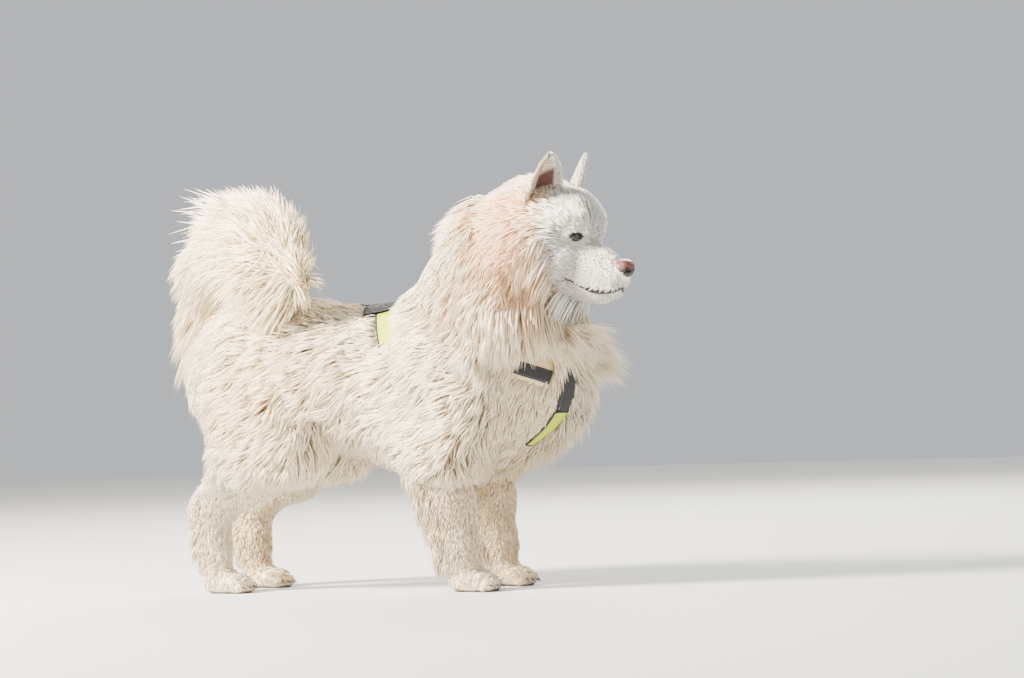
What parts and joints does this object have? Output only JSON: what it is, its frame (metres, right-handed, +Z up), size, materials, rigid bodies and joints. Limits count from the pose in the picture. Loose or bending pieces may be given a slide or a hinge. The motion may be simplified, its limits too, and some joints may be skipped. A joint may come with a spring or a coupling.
{
  "type": "standing dog model",
  "caption": "Still, life-size standing long-coated spitz dog with curled plume tail, wearing a pulling harness.",
  "frame": {"origin": "on the floor, under the middle of the whole model's bounding box", "axes": "+X the way the dog faces, +Y its left, +Z up"},
  "size_m": [1.0314, 0.3868, 0.8102],
  "materials": {
    "coat": "long cream-white hair with biscuit patches",
    "nose": "damp dark leather, pinkish brown above",
    "eyes": "wet dark brown",
    "webbing": "black woven webbing",
    "bright_fabric": "fluorescent yellow-green padded mesh"
  },
  "bodies": {
    "root": {"eye_right": "eyes", "ear_right": "coat", "foreleg_right": "coat", "hindleg_right": "coat", "paw_fore_right": "coat", "paw_hind_right": "coat", "eye_left": "eyes", "ear_left": "coat", "foreleg_left": "coat", "hindleg_left": "coat", "paw_fore_left": "coat", "paw_hind_left": "coat", "head": "coat", "neck": "coat", "chest": "coat", "barrel": "coat", "rump": "coat", "tail": "coat", "nose": "nose", "harness_girth": "webbing", "harness_spine": "webbing", "harness_shoulder_right": "webbing", "harness_shoulder_left": "webbing", "harness_chest_plate": "webbing", "harness_belly": "webbing", "harness_panel_right": "bright_fabric", "harness_panel_left": "bright_fabric", "harness_chest_panel": "bright_fabric"}
  },
  "joints": []
}
